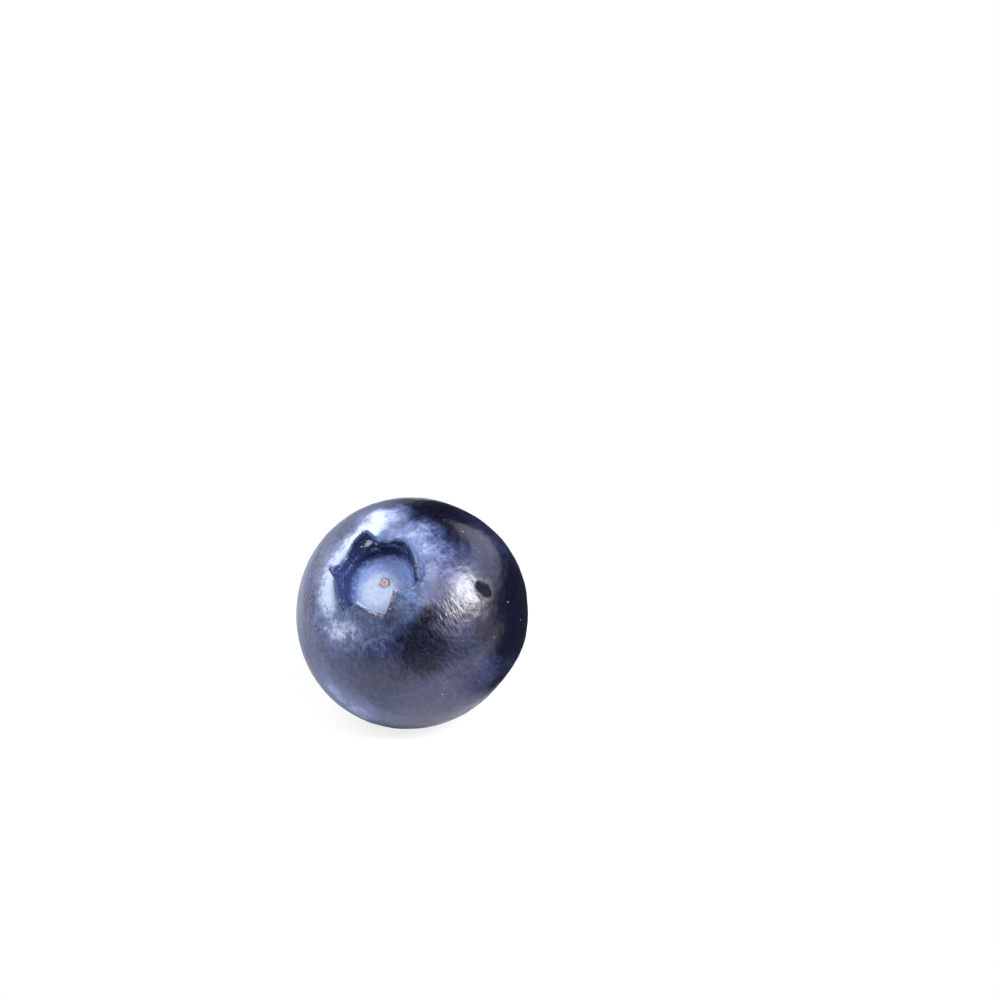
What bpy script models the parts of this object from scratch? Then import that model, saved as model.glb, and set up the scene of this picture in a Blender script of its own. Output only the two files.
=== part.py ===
"""A picked blueberry lying on its side: one grown solid with its calyx crown, disc and two scars.

The berry is lofted round its own axis from one profile for each angle, which runs from the
stem scar up over the skin and the crown's wall and down to the style scar. The wall's top
follows the ragged edge of five lobes. The berry then leans over, crown up and to the front,
and is flattened a little where it rests.
"""

import math

import bmesh
import bpy
from mathutils import Euler, Vector

# Driving dimensions, in metres: every length below is a share of the equator's radius.
EQUATOR_RADIUS = 0.0085
R = EQUATOR_RADIUS

# The skin, a spheroid a little flatter than it is wide, drawn in round the stalk's end.
HALF_HEIGHT = 0.85 * R
STEM_HOLLOW_DEPTH = 0.055 * R
STEM_HOLLOW_RADIUS = 0.24 * R

# The scar that the stalk left: a shallow corky cup with a low lip.
STEM_SCAR_RADIUS = 0.115 * R
STEM_SCAR_DEPTH = 0.045 * R
STEM_LIP_HEIGHT = 0.012 * R

# The calyx crown: a wall that rises from the shoulder of the skin.
CROWN_FOOT_RADIUS = 0.50 * R
CROWN_WAIST_RADIUS = 0.385 * R
CROWN_WAIST_LEVEL = 0.815 * R
WALL_THICKNESS = 0.07 * R
EDGE_CROWNING = 0.012 * R

# Five ragged lobes: the corners of the wall's top edge round the axis, as degrees, reach from
# the axis and level above the berry's middle, both as shares of R.
CROWN_EDGE = (
    (0, 0.362, 0.848),
    (9, 0.368, 0.905),
    (26, 0.385, 0.930),
    (47, 0.404, 0.932),
    (55, 0.408, 0.900),
    (66, 0.380, 0.912),
    (76, 0.348, 0.876),
    (90, 0.345, 0.880),
    (98, 0.385, 1.045),
    (112, 0.385, 0.972),
    (142, 0.365, 0.845),
    (155, 0.357, 0.875),
    (167, 0.392, 0.965),
    (174, 0.360, 0.890),
    (195, 0.345, 0.862),
    (210, 0.358, 0.840),
    (220, 0.335, 0.818),
    (230, 0.305, 0.895),
    (244, 0.247, 0.995),
    (262, 0.262, 0.965),
    (290, 0.312, 0.847),
    (303, 0.280, 0.905),
    (318, 0.278, 0.990),
    (331, 0.277, 1.050),
    (340, 0.310, 0.950),
    (351, 0.342, 0.880),
)

# The disc at the bottom of the crown, and the style's scar a little off its middle.
DISC_RADIUS = 0.235 * R
DISC_CORNER_RADIUS = 0.31 * R
DISC_LEVEL = 0.742 * R
DISC_SWELL = 0.014 * R
STYLE_SCAR_RADIUS = 0.036 * R
STYLE_SCAR_HEIGHT = 0.016 * R
STYLE_SCAR_OFFSET = Vector((0.034 * R, 0.020 * R, 0.0))

# Broad, low waves of the skin: waves round the axis, height as a share of R, and phase.
SKIN_WAVES = ((2, 0.006, 1.1), (3, 0.005, -0.6))

# Soft cheeks and dents of the skin: degrees from the crown's axis, degrees round it, width in
# degrees, and how far the skin stands out, as a share of R.
CHEEKS = (
    (116, 321, 13, -0.014),
    (113, 350, 13, 0.014),
    (85, 62, 24, -0.010),
    (100, 165, 26, -0.012),
    (125, 110, 24, 0.010),
    (149, 260, 24, 0.022),
)

# How the berry lies: its axis leans this far from upright, towards this heading, and the
# berry is turned about that axis. The flat spot takes this much off its lowest point.
LEAN_DEG = 49.9
HEADING_DEG = 244.7
SPIN_DEG = 101.0
FLAT_SPOT_DEPTH = 0.035 * R

# How finely the solid is divided.
AROUND = 90
SCAR_RINGS = 3
SKIN_RINGS = 21
WALL_RINGS = 6
DISC_RINGS = 4

SKIN_COLOUR = (0.035, 0.045, 0.115, 1.0)
SKIN_ROUGHNESS = 0.42


def mix(low, high, share):
    """The value that lies this share of the way from low to high."""
    return low + (high - low) * share


def bezier(points, share):
    """The point at this share of the curve through (radius, height) control points."""
    while len(points) > 1:
        points = [
            tuple(mix(a, b, share) for a, b in zip(p, q))
            for p, q in zip(points, points[1:])
        ]
    return points[0]


def skin_level(radius):
    """Height of the skin above the berry's middle on its crown side."""
    return HALF_HEIGHT * math.sqrt(1 - (radius / R) ** 2)


def stem_level(radius):
    """Height of the skin on its stalk side, drawn in round the scar."""
    return STEM_HOLLOW_DEPTH * math.exp(-((radius / STEM_HOLLOW_RADIUS) ** 2)) - skin_level(radius)


def stem_scar_profile():
    """The corky cup, from its middle out to the lip."""
    lip = stem_level(STEM_SCAR_RADIUS) - STEM_LIP_HEIGHT
    floor = lip + STEM_LIP_HEIGHT + STEM_SCAR_DEPTH
    inner_radius = 0.85 * STEM_SCAR_RADIUS
    profile = [(0.0, floor)]
    for i in range(1, SCAR_RINGS + 1):
        share = i / SCAR_RINGS
        profile.append((inner_radius * share, mix(floor, lip, 0.6 * share**3)))
    profile.append((STEM_SCAR_RADIUS, lip))
    return profile


def skin_profile():
    """The skin, from just outside the stem scar to just below the foot of the crown."""
    first = math.asin(1.35 * STEM_SCAR_RADIUS / R)
    last = math.pi - math.asin(CROWN_FOOT_RADIUS / R)
    profile = []
    for i in range(SKIN_RINGS):
        angle = mix(first, last, i / SKIN_RINGS)
        radius = R * math.sin(angle)
        level = stem_level(radius) if angle < math.pi / 2 else skin_level(radius)
        profile.append((radius, level))
    return profile


def crown_edge(degrees):
    """(reach, level) of the middle of the crown's edge at this angle."""
    corners = CROWN_EDGE + ((360, *CROWN_EDGE[0][1:]),)
    for before, after in zip(corners, corners[1:]):
        if before[0] <= degrees <= after[0]:
            share = (degrees - before[0]) / (after[0] - before[0])
            return tuple(R * mix(a, b, share) for a, b in zip(before[1:], after[1:]))
    raise ValueError(f"no stretch of the crown's edge at {degrees} degrees")


def crown_profile(reach, level):
    """Up the outside of the crown's wall, over its edge and down the inside to the disc."""
    foot = (CROWN_FOOT_RADIUS, skin_level(CROWN_FOOT_RADIUS))
    foot_slope = HALF_HEIGHT / R * foot[0] / math.sqrt(R**2 - foot[0] ** 2)
    easing = 0.6 * (CROWN_FOOT_RADIUS - CROWN_WAIST_RADIUS)
    outside = [
        foot,
        (foot[0] - easing, foot[1] + easing * foot_slope),
        (CROWN_WAIST_RADIUS, CROWN_WAIST_LEVEL),
        (reach + WALL_THICKNESS / 2, level),
    ]
    inside = [
        (reach - WALL_THICKNESS / 2, level),
        (DISC_CORNER_RADIUS, mix(DISC_LEVEL, level, 0.6)),
        (DISC_CORNER_RADIUS, DISC_LEVEL),
        (DISC_RADIUS, DISC_LEVEL),
    ]
    climb = [bezier(outside, i / WALL_RINGS) for i in range(WALL_RINGS + 1)]
    drop = [bezier(inside, i / WALL_RINGS) for i in range(WALL_RINGS + 1)]
    return climb + [(reach, level + EDGE_CROWNING)] + drop


def disc_profile():
    """The disc, swollen midway, in to the raised button that is the style's scar."""
    foot_radius = 1.3 * STYLE_SCAR_RADIUS
    profile = []
    for i in range(1, DISC_RINGS + 1):
        share = i / DISC_RINGS
        swell = DISC_SWELL * math.sin(math.pi / 2 * share)
        profile.append((mix(DISC_RADIUS, foot_radius, share), DISC_LEVEL + swell))
    top = DISC_LEVEL + DISC_SWELL + STYLE_SCAR_HEIGHT
    profile += [(STYLE_SCAR_RADIUS, top), (0.0, top)]
    return profile


def skin_swelling(point):
    """How far the skin stands out here, as a share of its distance from the middle."""
    width = (point.x**2 + point.y**2) / R**2
    turn = math.atan2(point.y, point.x)
    share = sum(height * width * math.cos(waves * turn + phase) for waves, height, phase in SKIN_WAVES)
    for polar, around, spread, height in CHEEKS:
        cheek = Euler((0.0, math.radians(polar), math.radians(around))).to_matrix().col[2]
        away = math.degrees(point.angle(cheek)) / spread
        share += height * math.exp(-(away**2))
    return share


def berry_point(radius, level, turn):
    """A point of the profile turned to its place, with the skin's swelling."""
    point = Vector((radius * math.cos(turn), radius * math.sin(turn), level))
    if level > 0 and radius < DISC_RADIUS:
        point += STYLE_SCAR_OFFSET * (1 - radius / DISC_RADIUS)
    return point * (1 + skin_swelling(point))


def loft_berry(bm):
    """The berry about its own axis, stem end down: a profile for each angle, then the faces."""
    columns = []
    ends = []
    for step in range(AROUND):
        degrees = 360.0 * step / AROUND
        profile = (
            stem_scar_profile()
            + skin_profile()
            + crown_profile(*crown_edge(degrees))
            + disc_profile()
        )
        points = [berry_point(*ring, math.radians(degrees)) for ring in profile]
        ends = ends or [bm.verts.new(points[0]), bm.verts.new(points[-1])]
        columns.append([bm.verts.new(p) for p in points[1:-1]])
    for i, column in enumerate(columns):
        after = columns[(i + 1) % AROUND]
        for low in range(len(column) - 1):
            bm.faces.new((column[low], after[low], after[low + 1], column[low + 1]))
        bm.faces.new((after[0], column[0], ends[0]))
        bm.faces.new((column[-1], after[-1], ends[1]))


def lying_rotation():
    """The turn that lays the berry on its side, crown up and to the front."""
    spin = Euler((0.0, 0.0, math.radians(SPIN_DEG))).to_matrix()
    lean = Euler((0.0, math.radians(LEAN_DEG), 0.0)).to_matrix()
    heading = Euler((0.0, 0.0, math.radians(HEADING_DEG))).to_matrix()
    return heading @ lean @ spin


def flatten_where_it_rests(bm, rotation):
    """Cuts the flat spot, level once the berry lies down, and closes it with one face."""
    level = min((rotation @ v.co).z for v in bm.verts) + FLAT_SPOT_DEPTH
    up = rotation.inverted() @ Vector((0.0, 0.0, 1.0))
    cut = bmesh.ops.bisect_plane(
        bm,
        geom=bm.verts[:] + bm.edges[:] + bm.faces[:],
        dist=1e-7,
        plane_co=up * level,
        plane_no=up,
        clear_inner=True,
    )
    rim = [e for e in cut["geom_cut"] if isinstance(e, bmesh.types.BMEdge)]
    bmesh.ops.contextual_create(bm, geom=rim)
    return level


def skin_material():
    """Dark blue skin under a thin bloom of wax."""
    material = bpy.data.materials.new("blueberry_skin")
    material.use_nodes = True
    shader = material.node_tree.nodes["Principled BSDF"]
    shader.inputs["Base Color"].default_value = SKIN_COLOUR
    shader.inputs["Roughness"].default_value = SKIN_ROUGHNESS
    shader.inputs["Metallic"].default_value = 0.0
    return material


def place_on_surface(berry, rotation, level):
    """Stands the flat spot on z = 0, with the berry's box centred on the origin."""
    points = [rotation @ v.co for v in berry.data.vertices]
    middle = [(min(p[i] for p in points) + max(p[i] for p in points)) / 2 for i in range(2)]
    berry.rotation_euler = rotation.to_euler()
    berry.location = (-middle[0], -middle[1], -level)


def build_blueberry():
    """The whole berry as one object."""
    rotation = lying_rotation()
    bm = bmesh.new()
    loft_berry(bm)
    level = flatten_where_it_rests(bm, rotation)
    bmesh.ops.recalc_face_normals(bm, faces=bm.faces[:])
    mesh = bpy.data.meshes.new("blueberry")
    bm.to_mesh(mesh)
    bm.free()
    mesh.shade_smooth()
    mesh.set_sharp_from_angle(angle=math.radians(50.0))
    mesh.materials.append(skin_material())
    berry = bpy.data.objects.new("blueberry", mesh)
    bpy.context.scene.collection.objects.link(berry)
    place_on_surface(berry, rotation, level)


def main():
    for obj in list(bpy.data.objects):
        bpy.data.objects.remove(obj)
    build_blueberry()


main()
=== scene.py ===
"""The finish of a picked blueberry lying on its side: bloomed skin, calyx crown and its dry edge.

The skin, the crown, the disc and both scars are one mesh, grown by a Geometry Nodes tree from
the rule that shapes the berry: a profile for each angle round its axis. Dry flakes on the
crown's edge and flecks of wax on the skin are scattered over it by two smaller trees.
"""

import math
from types import SimpleNamespace

import bmesh
import bpy
from bpy.props import FloatProperty, FloatVectorProperty, IntProperty, PointerProperty
from bpy.types import Operator, Panel, PropertyGroup
from mathutils import Euler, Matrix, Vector


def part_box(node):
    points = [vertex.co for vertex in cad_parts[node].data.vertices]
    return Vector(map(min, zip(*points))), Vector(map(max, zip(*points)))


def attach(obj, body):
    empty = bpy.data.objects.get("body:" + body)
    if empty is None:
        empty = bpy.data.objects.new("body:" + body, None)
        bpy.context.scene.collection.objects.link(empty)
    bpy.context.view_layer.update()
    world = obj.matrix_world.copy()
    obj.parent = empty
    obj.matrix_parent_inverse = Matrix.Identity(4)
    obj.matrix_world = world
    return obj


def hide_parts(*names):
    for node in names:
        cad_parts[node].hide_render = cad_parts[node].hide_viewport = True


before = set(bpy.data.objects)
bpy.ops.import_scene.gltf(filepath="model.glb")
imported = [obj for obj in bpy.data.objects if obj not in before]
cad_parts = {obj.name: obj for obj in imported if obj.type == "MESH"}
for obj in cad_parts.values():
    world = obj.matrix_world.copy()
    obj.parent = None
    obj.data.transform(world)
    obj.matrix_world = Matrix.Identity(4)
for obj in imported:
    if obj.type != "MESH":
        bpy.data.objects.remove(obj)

bl_info = {
    "name": "Blueberry",
    "version": (1, 0, 0),
    "blender": (4, 5, 0),
    "location": "3D View > Sidebar > Blueberry",
    "description": "Grows a picked blueberry with its calyx crown, wax bloom and scars",
    "category": "Add Mesh",
}

NODE = "blueberry"
BODY = "root"

# The equator's radius in metres, of which most lengths below are a share.
R = 0.0085

# The middle of the berry's own axes in the frame, and how far the finished mesh may differ
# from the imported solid's box.
BERRY_MIDDLE = Vector((-0.0000587, -0.0000513, 0.0077367))
BOX_TOLERANCE = 0.00025

# How the mesh is divided: points round the axis, and the rings of each part of the profile,
# from the style scar to the stem scar. Then the ring at which each part starts.
AROUND = 400
RINGS = {"button": 6, "disc": 18, "inner": 30, "edge": 6, "outer": 24, "skin": 146, "stem": 18}
STARTS = {part: sum(list(RINGS.values())[:index]) for index, part in enumerate(RINGS)}
MIDDLE_OF_EDGE = STARTS["edge"] + RINGS["edge"] / 2

# How far past their radius the profiles of the style scar and of the stem scar reach.
BUTTON_REACH = 1.3
STEM_SCAR_REACH = 1.35

# The crown's edge round the axis: degrees, then reach from the axis and level above the
# berry's middle, as shares of R.
CROWN_EDGE = (
    (0, 0.362, 0.848), (9, 0.368, 0.905), (26, 0.385, 0.930), (47, 0.404, 0.932),
    (55, 0.408, 0.900), (66, 0.380, 0.912), (76, 0.348, 0.876), (90, 0.345, 0.880),
    (98, 0.385, 1.045), (112, 0.385, 0.972), (142, 0.365, 0.845), (155, 0.357, 0.875),
    (167, 0.392, 0.965), (174, 0.360, 0.890), (195, 0.345, 0.862), (210, 0.358, 0.840),
    (220, 0.335, 0.818), (230, 0.305, 0.895), (244, 0.247, 0.995), (262, 0.262, 0.965),
    (290, 0.312, 0.847), (303, 0.280, 0.905), (318, 0.278, 0.990), (331, 0.277, 1.050),
    (340, 0.310, 0.950), (351, 0.342, 0.880),
)

# Broad, low waves of the skin: waves round the axis, height as a share of R, and phase.
SKIN_WAVES = ((2, 0.006, 1.1), (3, 0.005, -0.6))

# Soft cheeks and dents: degrees from the crown's axis, degrees round it, width in degrees, and
# how far the skin stands out as a share of R.
CHEEKS = (
    (116, 321, 13, -0.014), (113, 350, 13, 0.014), (85, 62, 24, -0.010),
    (100, 165, 26, -0.012), (125, 110, 24, 0.010), (149, 260, 24, 0.022),
)

# Fine relief: scale and detail of its noise, and its height as a share of R.
RELIEF = {
    "uneven": (7.0, 2.0, 0.010),
    "pebbles": (26.0, 1.0, 0.0042),
    "pleats": (6.0, 3.0, 0.020),
    "hollow": (30.0, 3.0, 0.004),
}

# The dent of the small dark pit on the right cheek: degrees from the axis and round it, then
# radius and depth as shares of R.
PIT_DENT = (58.4, 2.4)
PIT_RADIUS = 0.060
PIT_DEPTH = 0.012

# Where the wax lies thick, above 0, or is rubbed off: degrees from the crown's axis, degrees round
# it, width in degrees and amount. The thin patches just below the front lobes are painted shade.
WAX_AND_SHADE_PATCHES = (
    (43, 103, 11, 0.88), (60, 30, 13, 0.16), (80, 265, 30, -0.08), (31, 122, 9, 0.80),
    (31, 148, 9, 0.85), (31, 175, 9, 0.85), (31, 198, 9, 0.85), (28, 219, 6, -0.40),
    (28, 352, 8, -0.40), (72, 237, 8, 0.62), (80, 251, 8, 0.45), (64, 228, 7, 0.30),
    # The patch at 28 and 298 degrees is painted shade below the front lobe.
    (95, 321, 9, -0.30), (28, 298, 7, -0.25), (58, 287, 12, -0.16), (66, 262, 12, -0.18),
    (68, 2, 7, -0.14), (55, 80, 6, -0.16), (44, 262, 8, -0.14), (50, 92, 6, 0.12),
    (37, 52, 6, -0.16), (27, 76, 5, 0.20), (76, 256, 11, 0.24), (78, 325, 7, 0.18),
    (50, 125, 8, -0.25), (44, 152, 8, -0.25), (43, 178, 7, -0.20), (37, 62, 9, 0.42),
    (32, 46, 9, 0.25), (29, 238, 7, 0.55), (36, 226, 8, 0.50), (22, 268, 9, -0.20),
    (20, 248, 6, 0.25), (35, 306, 9, -0.28), (42, 307, 12, -0.30), (48, 304, 11, -0.33),
    # The patches at 50 and 320 degrees and at 34 and 288 degrees are painted shade below the front
    # lobes.
    (50, 320, 9, -0.25), (34, 288, 6, -0.20), (37, 320, 8, -0.26), (19, 330, 6, 0.15),
    (33, 326, 8, -0.70), (44, 272, 10, -0.18), (47, 294, 10, -0.15), (90, 275, 16, 0.10),
    (72, 250, 12, 0.35), (60, 82, 13, -0.46), (60, 68, 12, -0.18), (48, 96, 7, 0.34),
    (47, 83, 5, 0.24), (46, 60, 5, 0.55), (57, 42, 6, -0.30), (50, 52, 7, -0.30),
    (46, 345, 8, -0.32), (75, 350, 14, -0.20), (56, 60, 14, -0.42), (60, 36, 13, -0.32),
    (78, 60, 26, -0.34), (68, 320, 14, -0.20), (60, 246, 20, -0.10), (82, 0, 30, -0.95),
    (62, 350, 12, -0.15), (42, 340, 9, -0.12),
)

# Spots with a look of their own: degrees from the crown's axis, degrees round it and width in
# degrees.
SPOTS = {
    "wrinkles": (43, 340, 11),
    "crown crumbs": (22, 104, 7),
    "worn edge": (20, 310, 14),
    "chipped edge": (22, 18, 3),
    "clean edge": (23, 128, 18),
    # The next spot is painted shade on the front lobe.
    "lobe painted shade": (29, 300, 9),
    "smooth wax": (43, 90, 20),
    "even wax": (56, 30, 15),
    "rubbed side": (46, 312, 26),
    "dusty side": (84, 300, 38),
    "dull spot": (48, 352, 14),
    "dull foot": (28, 352, 8),
    "upper pit": (56.5, 3.9, 2.4),
    "lower pit": (60.0, 1.1, 2.4),
    "far wall of pit": (60.4, 4.4, 3.4),
}

# The ways round the axis, in degrees, towards which the disc's pale middle is shifted as painted
# light, and towards which the wall's navy reaches further down as painted shade.
DISC_LIT_SIDE = 264
HOLLOW_SHADED_SIDE = 165

# The noise patterns of the finish: scale, detail, roughness and seed.
PATTERNS = {
    "mottle": (13.0, 3.5, 0.56, 2.0), "grain": (60.0, 3.0, 0.60, 3.0),
    "patches": (3.6, 4.0, 0.55, 1.0), "streaks": (7.0, 4.0, 0.6, 4.0),
    "skin arcs": (3.2, 4.0, 0.6, 8.0), "dots": (72.0, 1.0, 0.5, 10.0),
    "cracks": (10.0, 3.0, 0.6, 18.0), "curds": (27.0, 2.0, 0.5, 24.0),
    "weave": (1.0, 3.0, 0.6, 22.0), "specks": (105.0, 3.0, 0.7, 11.0),
    "pepper": (46.0, 5.0, 0.80, 29.0), "blush": (19.0, 4.0, 0.7, 12.0),
    "dullness": (2.6, 3.0, 0.55, 23.0), "ridges": (50.0, 2.0, 0.55, 15.0),
    "wall arcs": (2.4, 4.0, 0.65, 9.0), "disc fibres": (3.0, 4.0, 0.65, 19.0),
    "frost": (34.0, 4.0, 0.70, 27.0), "crown specks": (60.0, 2.0, 0.6, 13.0),
    "clouds": (24.0, 3.0, 0.6, 25.0), "warm fibres": (16.0, 3.0, 0.6, 20.0),
    "crumbs": (34.0, 4.0, 0.75, 14.0), "lobe blotches": (20.0, 4.0, 0.65, 28.0),
    "dry edge": (7.0, 4.0, 0.65, 7.0), "leather": (46.0, 2.0, 0.5, 5.0),
    "wall fibres": (1.0, 3.0, 0.6, 26.0), "pit floor": (58.0, 2.0, 0.6, 16.0),
    "dust": (150.0, 3.0, 0.6, 6.0), "flake tones": (5200.0, 3.0, 0.6, 1.0),
    "flake relief": (21000.0, 2.0, 0.5, 2.0),
}

# The patterns that bend others: scale, detail and seed.
WAX_BEND = (6.0, 5.0)
CRACK_BEND = (8.0, 3.0, 17.0)
PIT_BEND = (16.0, 3.0, 21.0)

SINGLE_RESULTS = {"DOT_PRODUCT", "LENGTH", "DISTANCE"}


class Field:
    """A value in a node tree. Arithmetic with it adds the nodes that work the result out."""

    def __init__(self, socket):
        self.socket = socket
        self.tree = socket.id_data

    def __add__(self, other):
        return calculate("ADD", self, other)

    def __radd__(self, other):
        return calculate("ADD", other, self)

    def __sub__(self, other):
        return calculate("SUBTRACT", self, other)

    def __rsub__(self, other):
        return calculate("SUBTRACT", other, self)

    def __mul__(self, other):
        if holds_vector(self) and not holds_vector(other):
            return scaled(self, other)
        return calculate("MULTIPLY", self, other)

    def __rmul__(self, other):
        return self * other

    def __truediv__(self, other):
        if holds_vector(self) and not holds_vector(other):
            return scaled(self, 1 / other)
        return calculate("DIVIDE", self, other)

    def __rtruediv__(self, other):
        return calculate("DIVIDE", other, self)

    def __neg__(self):
        return self * -1.0

    def parts(self):
        """The three numbers of this vector."""
        made = add_node(self.tree, "ShaderNodeSeparateXYZ", {0: self})
        return [Field(output) for output in made.outputs]


def holds_vector(value):
    if isinstance(value, Field):
        return value.socket.type in {"VECTOR", "RGBA"}
    return isinstance(value, Vector)


def tree_of(values):
    """The tree of the first field among the values."""
    return next(value.tree for value in values if isinstance(value, Field))


def feed(socket, value):
    """Links a field to the socket, or sets the socket to a plain value."""
    if isinstance(value, Field):
        socket.id_data.links.new(value.socket, socket)
    else:
        socket.default_value = value


def add_node(tree, kind, values=None, **settings):
    """A new node with these settings, and its inputs fed by name or number."""
    made = tree.nodes.new(kind)
    for name, setting in settings.items():
        setattr(made, name, setting)
    for key, value in (values or {}).items():
        feed(made.inputs[key], value)
    return made


def result(tree, kind, values=None, output=0, **settings):
    """One output of a new node."""
    return Field(add_node(tree, kind, values, **settings).outputs[output])


def calculate(operation, *values):
    """The result of one Math or Vector Math node, of whose values one or more are fields."""
    kind, output = "ShaderNodeMath", "Value"
    if any(holds_vector(value) for value in values):
        kind = "ShaderNodeVectorMath"
        output = "Value" if operation in SINGLE_RESULTS else "Vector"
    return result(tree_of(values), kind, dict(enumerate(values)), output, operation=operation)


def vector(*values):
    """A vector made of three numbers or fields, of which one or more are fields."""
    return result(tree_of(values), "ShaderNodeCombineXYZ", dict(enumerate(values)))


def scaled(arrow, factor):
    """The vector made longer by the factor. One or both are fields."""
    values = {"Vector": arrow, "Scale": factor}
    return result(tree_of((arrow, factor)), "ShaderNodeVectorMath", values, operation="SCALE")


def unit(arrow):
    return calculate("NORMALIZE", arrow)


def from_axis(place):
    """How far a point is from the berry's axis."""
    x, y, _ = place.parts()
    return calculate("SQRT", x * x + y * y)


def round_axis(place):
    """The angle at which a point lies round the berry's axis."""
    x, y, _ = place.parts()
    return calculate("ARCTAN2", y, x)


def wrapped(place, spread, height):
    """The point for a pattern that runs round the axis, stretched by the spread and the height."""
    turn = round_axis(place)
    return vector(calculate("COSINE", turn) * spread, calculate("SINE", turn) * spread, height)


def mix(low, high, share):
    """The value that lies this share of the way from low to high."""
    return low + (high - low) * share


def falloff(away):
    """1 at 0, falling off smoothly on both sides."""
    return calculate("EXPONENT", -(away * away))


def hump(value, middle, width):
    """1 where the value is at the middle, falling off smoothly over the width on both sides."""
    return falloff((value - middle) / width)


def rise(value, low, high):
    """0 at low, 1 at high, and a smooth rise between them, or a fall where high is the lower."""
    values = {"Value": value, "From Min": low, "From Max": high}
    return result(value.tree, "ShaderNodeMapRange", values, interpolation_type="SMOOTHSTEP")


def noise(place, scale, detail=2.0, roughness=0.5, seed=0.0, output=0):
    """Smooth noise from 0 to 1 about a middle of 0.5."""
    values = {"Vector": place, "W": seed, "Scale": scale, "Detail": detail, "Roughness": roughness}
    return result(place.tree, "ShaderNodeTexNoise", values, output, noise_dimensions="4D")


def pattern(place, name):
    """One of the finish's patterns of noise."""
    return noise(place, *PATTERNS[name])


def wobble(place, scale, detail, seed):
    """A vector of smooth noise about zero, to bend a pattern with."""
    return noise(place, scale, detail, seed=seed, output="Color") - Vector((0.5, 0.5, 0.5))


def direction(polar, turn):
    """The unit vector this many degrees from the crown's axis and this many round it."""
    return Euler((0.0, math.radians(polar), math.radians(turn))).to_matrix().col[2].copy()


def near(heading, polar, turn, width):
    """1 at a spot of the berry and less away from it. The last three are in degrees."""
    away = calculate("DISTANCE", heading, direction(polar, turn))
    return falloff(away / (2 * math.sin(math.radians(width) / 2)))


def at(heading, name):
    """1 at one of the named spots and less away from it."""
    return near(heading, *SPOTS[name])


def length(name, metres, description):
    return FloatProperty(
        name=name,
        default=metres,
        min=0.0,
        precision=5,
        subtype="DISTANCE",
        unit="LENGTH",
        description=description,
    )


def angle(name, degrees, description):
    return FloatProperty(
        name=name,
        default=math.radians(degrees),
        subtype="ANGLE",
        unit="ROTATION",
        description=description,
    )


def number(name, value, description):
    return FloatProperty(name=name, default=value, min=0.0, description=description)


def colour(name, value, description):
    return FloatVectorProperty(
        name=name,
        default=value,
        size=3,
        min=0.0,
        max=1.0,
        subtype="COLOR",
        description=description,
    )


class BLUEBERRY_PG_sizes(PropertyGroup):
    """The sizes of the berry, its crown and its scars."""

    equator_radius: length("Equator radius", R, "Half of the berry's width")
    half_height: length("Half height", 0.85 * R, "Half of the height along the berry's own axis")
    hollow_depth: length("Hollow depth", 0.055 * R, "How far the skin is drawn in at the stem")
    hollow_radius: length("Hollow radius", 0.24 * R, "How wide the skin is drawn in at the stem")
    stem_scar_radius: length("Stem scar radius", 0.115 * R, "Radius of the scar the stem left")
    stem_scar_depth: length("Stem scar depth", 0.045 * R, "Depth of the scar the stem left")
    stem_lip_height: length("Stem lip height", 0.012 * R, "Height of the lip round that scar")
    foot_radius: length("Crown foot radius", 0.50 * R, "Where the crown starts to rise")
    waist_radius: length("Crown waist radius", 0.385 * R, "Radius of the crown's narrowest part")
    waist_level: length("Crown waist level", 0.815 * R, "Height of that part above the middle")
    edge_thickness: length("Edge thickness", 0.036 * R, "Thickness of the lobes at their edge")
    edge_crowning: length("Edge crowning", 0.012 * R, "How far the lobes' edge is rounded")
    raggedness: length("Raggedness", 0.032 * R, "Height of the small tears along the lobes' edge")
    disc_radius: length("Disc radius", 0.235 * R, "Radius of the flat part of the disc")
    corner_radius: length("Disc corner radius", 0.31 * R, "Radius where the disc meets the wall")
    disc_level: length("Disc level", 0.742 * R, "Height of the disc above the berry's middle")
    disc_swell: length("Disc swell", 0.014 * R, "How far the disc swells midway")
    disc_shift_x: length("Disc shift X", 0.034 * R, "How far the disc's middle is off the axis")
    disc_shift_y: length("Disc shift Y", 0.020 * R, "The same, square to the first")
    button_radius: length("Style scar radius", 0.029 * R, "Radius of the scar the style left")
    button_height: length("Style scar height", 0.014 * R, "Height of that scar above the disc")
    lean: angle("Lean", 49.9, "How far the berry's axis leans from upright")
    heading: angle("Heading", 244.7, "Which way the crown leans")
    spin: angle("Spin", 101.0, "How far the berry is turned about its own axis")
    relief: number("Relief", 1.0, "Strength of the fine relief of skin, disc and crown")
    seed: IntProperty(name="Seed", default=7, description="Draws the tears and the fine relief")


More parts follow.
